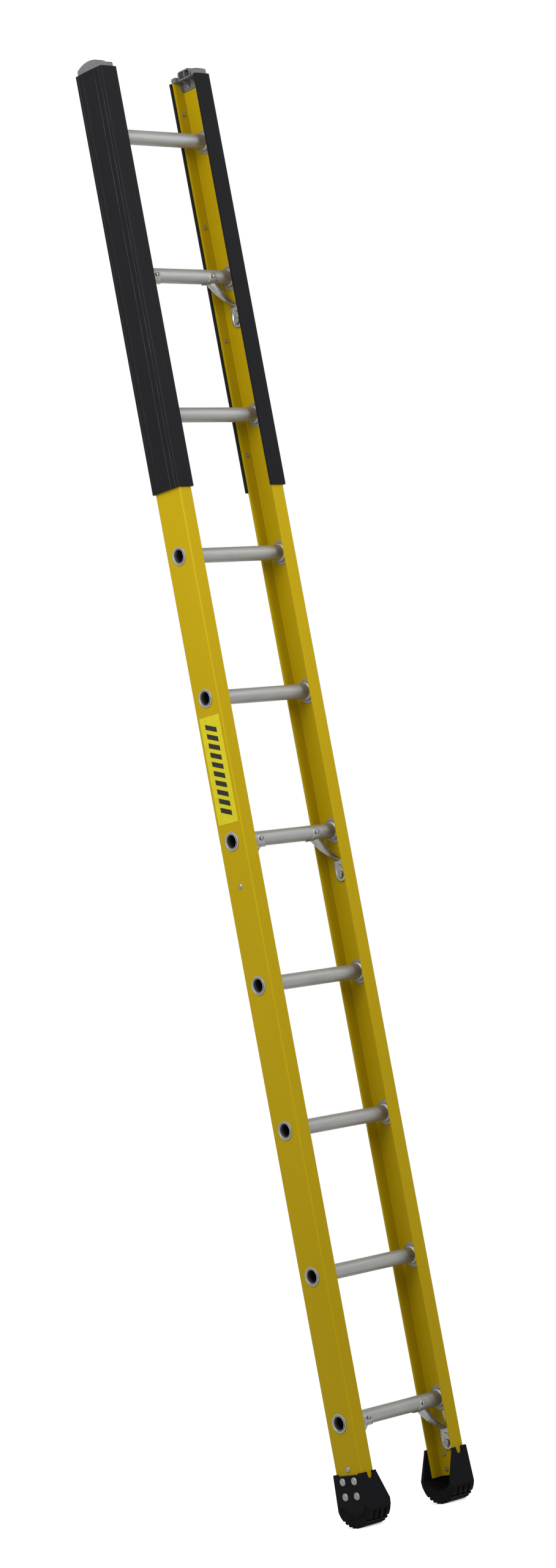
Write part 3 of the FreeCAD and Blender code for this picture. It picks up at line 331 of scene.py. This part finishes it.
FINISHES = {
    "rail_fibreglass": fibreglass(),
    "rung_aluminium": rung_metal(),
    "ring_aluminium": formed_metal("ring_aluminium", (0.34, 0.34, 0.335), (0.46, 0.46, 0.45),
                                   smooth=0.46, rough=0.62),
    "brace_aluminium": formed_metal("brace_aluminium", (0.36, 0.365, 0.36), (0.50, 0.505, 0.49),
                                    smooth=0.30, rough=0.44),
    "rivet_metal": formed_metal("rivet_metal", (0.27, 0.275, 0.27), (0.38, 0.385, 0.375),
                                smooth=0.34, rough=0.48),
    "shield_plastic": shield_plastic(),
    "cap_plastic": moulded("cap_plastic", (0.128, 0.131, 0.134), (0.166, 0.169, 0.172),
                           grain_size=1500, grain_depth=0.08 * MM, rub_wear_and_highlight=(0.22, 0.22, 0.22),
                           smooth=0.45, rough=0.6, gloss=0.3),
    "shoe_plastic": moulded("shoe_plastic", (0.0036, 0.0040, 0.0050), (0.0062, 0.0067, 0.0080),
                            grain_size=1300, grain_depth=0.1 * MM, rub_wear_and_highlight=(0.0105, 0.0110, 0.0125),
                            smooth=0.5, rough=0.64, gloss=0.09),
    "tread_rubber": moulded("tread_rubber", (0.0032, 0.0033, 0.0034), (0.0060, 0.0062, 0.0062),
                            grain_size=900, grain_depth=0.14 * MM, rub_wear_and_highlight=(0.0115, 0.0118, 0.0115),
                            smooth=0.6, rough=0.8, gloss=0.08),
    "label_film": label_film(),
}


# ---------------------------------------------------------------- mesh tools

def add_piece(name, bm, slot, *nodes, crease=35):
    """Turn a bmesh in the row frame into a piece that stands for CAD nodes."""
    bmesh.ops.remove_doubles(bm, verts=bm.verts, dist=1e-6)
    bmesh.ops.recalc_face_normals(bm, faces=bm.faces)
    mesh = bpy.data.meshes.new(name)
    bm.to_mesh(mesh)
    bm.free()
    return add_mesh(name, mesh, slot, *nodes, crease=crease)


def add_mesh(name, mesh, slot, *nodes, crease=35):
    """Show a mesh as a piece with a finish, riding on the one body."""
    mesh.materials.clear()
    mesh.materials.append(FINISHES[slot])
    mesh.shade_smooth()
    mesh.set_sharp_from_angle(angle=math.radians(crease))
    piece = bpy.data.objects.new(name, mesh)
    bpy.context.scene.collection.objects.link(piece)
    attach(piece, "root")
    if nodes:
        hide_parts(*nodes)
    return piece


def rounded(corners, steps=4):
    """Round the corners of a closed outline of (along, radius, corner radius)."""
    outline = []
    count = len(corners)
    for index, (along, radius, size) in enumerate(corners):
        here = Vector((along, radius))
        if size == 0:
            outline.append(tuple(here))
            continue
        before = (Vector(corners[index - 1][:2]) - here).normalized()
        after = (Vector(corners[(index + 1) % count][:2]) - here).normalized()
        half = before.angle(after) / 2
        reach = size / math.tan(half)
        centre = here + (before + after).normalized() * (size / math.sin(half))
        first = (here + before * reach - centre).normalized()
        last = (here + after * reach - centre).normalized()
        for step in range(steps + 1):
            outline.append(tuple(centre + first.slerp(last, step / steps) * size))
    return outline


def turn(bm, outline, place, segments=48, wave=None):
    """Turn a closed outline of (along, radius) round the first axis of place."""
    rings = []
    for step in range(segments):
        angle = TAU * step / segments
        ring = []
        for along, radius in outline:
            reach = radius + (wave(angle, along, radius) if wave else 0)
            point = Vector((along, reach * math.cos(angle), reach * math.sin(angle)))
            ring.append(bm.verts.new(place @ point))
        rings.append(ring)
    count = len(outline)
    for step in range(segments):
        here, there = rings[step], rings[(step + 1) % segments]
        for index in range(count):
            following = (index + 1) % count
            corners = [here[index], here[following], there[following], there[index]]
            bm.faces.new(corners)


def smooth_step(value, start, stop):
    """0 before start, 1 after stop and an even curve between."""
    share = min(max((value - start) / (stop - start), 0), 1)
    return share * share * (3 - 2 * share)


def facing(point, direction):
    """A place whose first axis points in a direction."""
    turned = Vector(ACROSS).rotation_difference(Vector(direction))
    return Matrix.Translation(point) @ turned.to_matrix().to_4x4()


def welded(node):
    """A bmesh copy of a CAD node with its split corners joined."""
    bm = bmesh.new()
    bm.from_mesh(frame["nodes"][node].data)
    bmesh.ops.remove_doubles(bm, verts=bm.verts, dist=1e-6)
    return bm


def islands(node):
    """The lowest and highest corner of each separate solid in a CAD node."""
    bm = welded(node)
    left = set(bm.verts)
    boxes = []
    while left:
        front = [left.pop()]
        found = list(front)
        while front:
            here = front.pop()
            near = {edge.other_vert(here) for edge in here.link_edges} & left
            left -= near
            front += near
            found += near
        points = [vert.co for vert in found]
        boxes.append([Vector([pick(point[axis] for point in points) for axis in range(3)])
                      for pick in (min, max)])
    bm.free()
    return sorted(boxes, key=lambda box: tuple(round(value, 5) for value in (*box[0], *box[1])))


def flat_faced(node):
    """A bmesh copy of a CAD node whose flat faces are single polygons."""
    bm = welded(node)
    bmesh.ops.dissolve_limit(bm, angle_limit=math.radians(1), verts=bm.verts, edges=bm.edges)
    return bm


def bevelled_copy(name, slot, node, width, shortest=4 * MM):
    """A copy of a CAD node's mesh with its long sharp edges rounded."""
    add_bevelled(name, flat_faced(node), slot, node, width, shortest)


def add_bevelled(name, bm, slot, node, width, shortest=4 * MM):
    """Round the long sharp edges of a bmesh and turn it into a piece."""
    edges = [edge for edge in bm.edges
             if len(edge.link_faces) == 2 and edge.calc_length() > shortest
             and edge.calc_face_angle() > SHARP]
    bmesh.ops.bevel(bm, geom=edges, offset=width, segments=2, profile=0.5, affect="EDGES",
                    clamp_overlap=True, loop_slide=True)
    piece = add_piece(name, bm, slot, node, crease=40)
    piece.modifiers.new("flat_faces_stay_flat", "WEIGHTED_NORMAL").keep_sharp = True


# ---------------------------------------------------------------- rungs and rings

def rung_outline():
    """Half of a rung's wall is mirrored to give the whole closed outline, with lips and beads."""
    face = ferrule_face
    bead = washer_face
    half = [(rung_end - depth * MM, BORE_RADIUS, 0) for depth in BORE_STEPS]
    half += [
        (rung_end - 1.1 * MM, BORE_RADIUS, 0),
        (rung_end, BORE_RADIUS + 0.9 * MM, 0.3 * MM),
        (rung_end, RUNG_RADIUS, 0.4 * MM),
        (face - MOUTH_DEPTH, RUNG_RADIUS, 0),
        (bead, RUNG_RADIUS, 0),
        (bead, BEAD_RADIUS, 1.6 * MM),
        (bead - BEAD_WIDTH, BEAD_RADIUS - 1.6 * MM, 2.2 * MM),
        (bead - BEAD_WIDTH - 2 * MM, RUNG_RADIUS, 0.8 * MM),
        (bead - BEAD_WIDTH - 9 * MM, RUNG_RADIUS, 0),
        (bead - BEAD_WIDTH - 14 * MM, RUNG_RADIUS, 0),
    ]
    other = [(-along, radius, size) for along, radius, size in reversed(half)]
    return rounded(half + other)


def make_rung(name, height):
    """One fluted tube whose bore is darkened by painted shade."""
    ribbed = washer_face - BEAD_WIDTH - 12 * MM

    def wave(angle, along, radius):
        if abs(along) > ribbed or radius < RUNG_RADIUS - 0.2 * MM:
            return 0
        return -RIB_DEPTH * max(0, math.cos(RIB_COUNT * angle)) ** 2

    bm = bmesh.new()
    turn(bm, rung_outline(), Matrix.Translation((0, 0, height)), RIB_COUNT * 4, wave)
    tube = add_piece(f"{name}_fluted_tube", bm, "rung_aluminium", name, crease=50)
    # Painted shade for the bore: none at the rung's end, full from 14 mm inside.
    shade = tube.data.attributes.new("painted_bore_shade", "FLOAT", "POINT")
    for vert in tube.data.vertices:
        radius = math.hypot(vert.co.y, vert.co.z - height)
        depth = rung_end - abs(vert.co.x)
        inside = radius < BORE_RADIUS + 0.3 * MM
        shade.data[vert.index].value = smooth_step(depth, 1 * MM, 14 * MM) if inside else 0.0


def make_ferrules(side):
    """Serrated rings round the rung ends, each with a sunk mouth round its tube."""
    sign = SIDES[side]

    def wave(angle, along, radius):
        if radius < FERRULE_RADIUS - 0.7 * MM:
            return 0
        return -0.35 * MM * max(0, math.cos(SERRATIONS * angle))

    outline = rounded([
        (web_inner, RUNG_RADIUS, 0),
        (ferrule_face - MOUTH_DEPTH, RUNG_RADIUS, 0),
        (ferrule_face - MOUTH_DEPTH, MOUTH_RADIUS, 0),
        (ferrule_face, MOUTH_RADIUS + 0.2 * MM, 0.4 * MM),
        (ferrule_face, FERRULE_RADIUS, 0.7 * MM),
        (web_outer, FERRULE_RADIUS, 0),
        (web_outer, LIP_RADIUS - 0.4 * MM, 0),
        (web_inner, LIP_RADIUS - 0.4 * MM, 0),
    ])
    bm = bmesh.new()
    for height in rung_heights:
        turn(bm, outline, facing((0, 0, height), (sign, 0, 0)), SERRATIONS * 4, wave)
    add_piece(f"ferrule_rings_{side}", bm, "ring_aluminium", f"rung_ferrules_{side}")


def make_washers(side):
    """Broad washers with a raised rim and a groove."""
    sign = SIDES[side]
    outline = rounded([
        (washer_face, RUNG_RADIUS, 0),
        (web_inner, RUNG_RADIUS, 0),
        (web_inner, WASHER_RADIUS, 0),
        (washer_face, WASHER_RADIUS, 0.9 * MM),
        (washer_face, WASHER_RADIUS - 2.2 * MM, 0.3 * MM),
        (washer_face + 0.8 * MM, WASHER_RADIUS - 2.8 * MM, 0.3 * MM),
        (washer_face + 0.8 * MM, WASHER_RADIUS - 4.2 * MM, 0.3 * MM),
        (washer_face, WASHER_RADIUS - 4.8 * MM, 0.3 * MM),
    ], 3)
    bm = bmesh.new()
    for height in rung_heights:
        turn(bm, outline, facing((0, 0, height), (sign, 0, 0)), 72)
    add_piece(f"grooved_washers_{side}", bm, "ring_aluminium", f"rung_washers_{side}")


for rung_name, rung_height in zip(RUNGS, rung_heights):
    make_rung(rung_name, rung_height)
for side_name in SIDES:
    make_ferrules(side_name)
    make_washers(side_name)


# ---------------------------------------------------------------- braces

def shape_brace(mesh, sign, height):
    """Neck the strut above its foot and press a dish with a rim into the foot."""
    for vert in mesh.vertices:
        rise = vert.co.z - height + FOOT_DROP
        off_web = web_outer - WEB_WALL - vert.co.x * sign
        eased = 0.75 * smooth_step(rise, NECK_EASES, NECK_ENDS)
        neck = smooth_step(rise, NECK_FROM, NECK_FULL) * (1 - eased)
        vert.co.y *= 1 - NECK_SHARE * neck
        span = math.hypot(vert.co.y / DISH_HALF_WIDTH, (rise - DISH_RISE) / DISH_HALF_HEIGHT)
        inside_rim = 1 - smooth_step(span, 0.66, 0.9)
        on_face = smooth_step(off_web, FOOT_PLATE * 0.6, FOOT_PLATE)
        vert.co.x += sign * DISH_DEPTH * inside_rim * on_face


def make_brace_mesh(node, sign, height):
    """A CAD brace made smooth like a pressed tube."""
    bm = welded(node)
    mesh = bpy.data.meshes.new(node)
    bm.to_mesh(mesh)
    bm.free()
    lump = bpy.data.objects.new("brace_lump", mesh)
    bpy.context.scene.collection.objects.link(lump)
    remesh = lump.modifiers.new("even", "REMESH")
    remesh.mode = "VOXEL"
    remesh.voxel_size = BRACE_VOXEL
    relax = lump.modifiers.new("relax", "SMOOTH")
    relax.factor = 0.5
    relax.iterations = 3
    graph = bpy.context.evaluated_depsgraph_get()
    made = bpy.data.meshes.new_from_object(lump.evaluated_get(graph))
    bpy.data.objects.remove(lump)
    shape_brace(made, sign, height)
    return made


for side_name, sign in SIDES.items():
    for number in BRACED:
        place_name = f"brace_{number:02d}_{side_name}"
        node_name = f"rung_{place_name}"
        brace_mesh = make_brace_mesh(node_name, sign, rung_heights[number - 1])
        add_mesh(f"pressed_{place_name}", brace_mesh, "brace_aluminium", node_name, crease=60)


# ---------------------------------------------------------------- rivets

def disc_head(face, top, radius, ring):
    """A flat head with a rounded rim and a shallow ring pressed into it."""
    return [
        (face, radius, 0),
        (top - (top - face) * 0.35, radius, 0.35 * MM),
        (top, radius - 0.9 * MM, 0.5 * MM),
        (top, ring + 0.5 * MM, 0.2 * MM),
        (top - 0.3 * (top - face), ring, 0.2 * MM),
        (top, ring - 0.5 * MM, 0.2 * MM),
    ]


def plain_head(face, top, radius, crown):
    """A low rounded head."""
    rise = top - face
    return [
        (face, radius, 0),
        (face + rise * 0.45, radius * 0.93, 0.8 * MM),
        (face + rise * 0.85, radius * 0.62, 1.2 * MM),
        (top, crown, 0),
    ]


def dimpled_head(face, top, radius, hole):
    """A rounded head with a dark hole in its middle, as a drawn rivet has."""
    rise = top - face
    return [
        (face, radius, 0),
        (face + rise * 0.3, radius - 0.1 * MM, 0.3 * MM),
        (face + rise * 0.8, radius * 0.72, 0.8 * MM),
        (top, hole + 0.5 * MM, 0.3 * MM),
        (top - rise * 0.9, hole, 0),
    ]


def make_rivets(name, node, axis, shank, head, tail, head_radius=None):
    """Turned rivets in a CAD node's places.

    head is (height, outline maker, share of the radius that its middle takes) and
    tail is (height, radius).  The head's radius comes from the node unless it is given.
    """
    bm = bmesh.new()
    for low, high in islands(node):
        middle = (low + high) / 2
        if axis == 0:
            outward = 1 if middle.x > 0 else -1
        else:
            outward = 1 if middle.y > 0 else -1
        if "cap" in node:
            outward = -outward
        length = (high - low)[axis] / 2
        radius = head_radius or max((high - low)[turned] for turned in range(3) if turned != axis) / 2
        direction = Vector((outward, 0, 0)) if axis == 0 else Vector((0, outward, 0))
        tail_height, tail_radius = tail
        head_height, maker, share = head
        outline = [
            (-length + 1 * MM, 0, 0),
            (-length + 1 * MM, 0.22 * tail_radius, 0),
            (-length, 0.4 * tail_radius, 0.3 * MM),
            (-length, tail_radius, 0.3 * tail_height),
            (-length + tail_height, tail_radius, 0),
            (-length + tail_height, shank, 0),
            (length - head_height, shank, 0),
        ]
        outline += maker(length - head_height, length, radius, radius * share)
        outline += [(outline[-1][0], 0, 0)]
        spun = rounded(outline, 3)
        turn_solid(bm, spun, facing(middle, direction))
    add_piece(name, bm, "rivet_metal", node, crease=42)


def turn_solid(bm, outline, place):
    """Turn an open outline that starts and ends on the axis."""
    rings = []
    for along, radius in outline:
        if radius < 1e-7:
            rings.append([bm.verts.new(place @ Vector((along, 0, 0)))])
            continue
        angles = [TAU * step / RIVET_SEGMENTS for step in range(RIVET_SEGMENTS)]
        rings.append([bm.verts.new(place @ Vector((along, radius * math.cos(a), radius * math.sin(a))))
                      for a in angles])
    for before, after in zip(rings, rings[1:]):
        for step in range(RIVET_SEGMENTS):
            following = (step + 1) % RIVET_SEGMENTS
            corners = [before[step % len(before)], before[following % len(before)],
                       after[following % len(after)], after[step % len(after)]]
            corners = list(dict.fromkeys(corners))
            if len(corners) > 2:
                bm.faces.new(corners)


make_rivets("brace_rail_fastenings", "brace_rail_rivets", 0, LARGE_SHANK,
            (2.6 * MM, plain_head, 0.25), (3 * MM, 7 * MM), head_radius=6.3 * MM)
make_rivets("brace_rung_fastenings", "brace_rung_rivets", 1, SMALL_SHANK,
            (2.4 * MM, dimpled_head, 0.36), (2 * MM, 3.2 * MM))
for side_name in SIDES:
    make_rivets(f"shoe_fastenings_{side_name}", f"shoe_rivets_{side_name}", 0, LARGE_SHANK,
                (1.9 * MM, disc_head, 0.66), (2.4 * MM, 4.2 * MM))
    make_rivets(f"cap_fastenings_{side_name}", f"cap_rivets_{side_name}", 0, SMALL_SHANK,
                (2 * MM, dimpled_head, 0.36), (1.4 * MM, 3.8 * MM))
    make_rivets(f"shield_fastenings_{side_name}", f"shield_rivets_{side_name}", 1, SMALL_SHANK,
                (1.6 * MM, dimpled_head, 0.36), (2.2 * MM, 4.4 * MM))


# ---------------------------------------------------------------- mouldings

def crown_height(across):
    """Height of a cap's arch above its shoulders' level."""
    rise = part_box("top_cap_right")[1][2] - rail_top - CAP_SHOULDER
    half = (rail_back - rail_front) / 2
    radius = (half * half + rise * rise) / (2 * rise)
    return rise - radius + math.sqrt(radius * radius - across * across)


def make_cap_piece(side):
    """A cap with an even arch and a raised rim round its outer panel."""
    node = f"top_cap_{side}"
    bm = flat_faced(node)
    shoulder = rail_top + CAP_SHOULDER

    def on_arch(point):
        near_rail_face = abs(point.x) > web_outer - CAP_PANEL - 0.2 * MM
        return near_rail_face and abs(point.z - shoulder - crown_height(point.y)) < 0.05 * MM

    chords = [edge for edge in bm.edges
              if all(on_arch(vert.co) for vert in edge.verts)
              and abs(edge.verts[0].co.y - edge.verts[1].co.y) > 2 * MM]
    cut = bmesh.ops.subdivide_edges(bm, edges=chords, cuts=4, use_grid_fill=True)
    for item in cut["geom_inner"]:
        if isinstance(item, bmesh.types.BMVert):
            item.co.z = shoulder + crown_height(item.co.y)
    outer = max(bm.faces, key=lambda face: abs(face.normal.x) * face.calc_area()
                * (abs(face.calc_center_median().x) > web_outer - 0.1 * MM))
    bmesh.ops.inset_region(bm, faces=[outer], thickness=CAP_RIM, depth=-CAP_RIM_DEPTH,
                           use_even_offset=True)
    add_bevelled(f"arched_cap_{side}", bm, "cap_plastic", node, 0.5 * MM)


for side_name in SIDES:
    bevelled_copy(f"shield_channel_{side_name}", "shield_plastic", f"rail_shield_{side_name}",
                  0.35 * MM, 20 * MM)
    make_cap_piece(side_name)
    bevelled_copy(f"shoe_cover_{side_name}", "shoe_plastic", f"shoe_shell_{side_name}", 0.8 * MM)
    bevelled_copy(f"grooved_tread_{side_name}", "tread_rubber", f"shoe_tread_{side_name}", 0.5 * MM)
    bevelled_copy(f"stepped_strip_{side_name}", "brace_aluminium", f"bottom_rung_strip_{side_name}",
                  0.4 * MM, 1 * MM)


# ---------------------------------------------------------------- CAD nodes that keep their shape

slots = {part["node"]: part["material_slot"] for part in frame["record"]["subparts"]}
for node_name, node in frame["nodes"].items():
    node.data.materials.clear()
    node.data.materials.append(FINISHES[slots[node_name]])


# ---------------------------------------------------------------- floor, light and camera

def make_floor():
    """A plain pale floor."""
    bm = bmesh.new()
    bmesh.ops.create_grid(bm, x_segments=1, y_segments=1, size=60)
    mesh = bpy.data.meshes.new("floor")
    bm.to_mesh(mesh)
    bm.free()
    floor = bpy.data.objects.new("floor", mesh)
    bpy.context.scene.collection.objects.link(floor)
    pale = Finish("pale_floor", Base_Color=(0.9, 0.9, 0.9, 1), Roughness=1.0,
                  Emission_Color=(1, 1, 1, 1), Emission_Strength=0.62)
    mesh.materials.append(pale.material)
    floor.visible_diffuse = False
    floor.visible_glossy = False


def add_light(name, place, target, size, power):
    """A square soft light that faces a point."""
    lamp = bpy.data.lights.new(name, "AREA")
    lamp.energy = power
    lamp.size = size
    light = bpy.data.objects.new(name, lamp)
    light.location = place
    light.rotation_euler = (Vector(target) - Vector(place)).to_track_quat("-Z", "Y").to_euler()
    bpy.context.scene.collection.objects.link(light)


def make_world():
    """A white surround that looks white and lights the ladder gently."""
    world = bpy.data.worlds.new("white_surround")
    world.use_nodes = True
    tree = world.node_tree
    background = tree.nodes["Background"]
    background.inputs["Color"].default_value = (1, 1, 1, 1)
    path = tree.nodes.new("ShaderNodeLightPath")
    total = None
    for ray, strength in SKY:
        step = tree.nodes.new("ShaderNodeMath")
        step.operation = "MULTIPLY_ADD"
        step.inputs[1].default_value = strength
        step.inputs[2].default_value = 0
        tree.links.new(path.outputs[ray], step.inputs[0])
        if total:
            tree.links.new(total, step.inputs[2])
        total = step.outputs[0]
    tree.links.new(total, background.inputs["Strength"])
    bpy.context.scene.world = world


def make_camera():
    """Stand front left of the ladder, level with its third rung, with the camera rolled."""
    data = bpy.data.cameras.new("camera")
    data.sensor_width = 36
    data.lens = CAMERA_LENS
    data.clip_end = 200
    camera = bpy.data.objects.new("camera", data)
    look = (Vector(CAMERA_AIM) - Vector(CAMERA_PLACE)).to_track_quat("-Z", "Y").to_matrix()
    roll = Matrix.Rotation(CAMERA_ROLL, 3, "Z")
    camera.matrix_world = Matrix.Translation(CAMERA_PLACE) @ (look @ roll).to_4x4()
    bpy.context.scene.collection.objects.link(camera)
    bpy.context.scene.camera = camera


make_floor()
make_world()
add_light("side", (-2.4, -0.8, 3.2), (0, 0, 1.9), 2.4, 76)
add_light("front", (0.2, -2.8, 3.2), (0, 0, 1.9), 1.2, 49)
make_camera()
bpy.context.scene.view_settings.view_transform = "Standard"
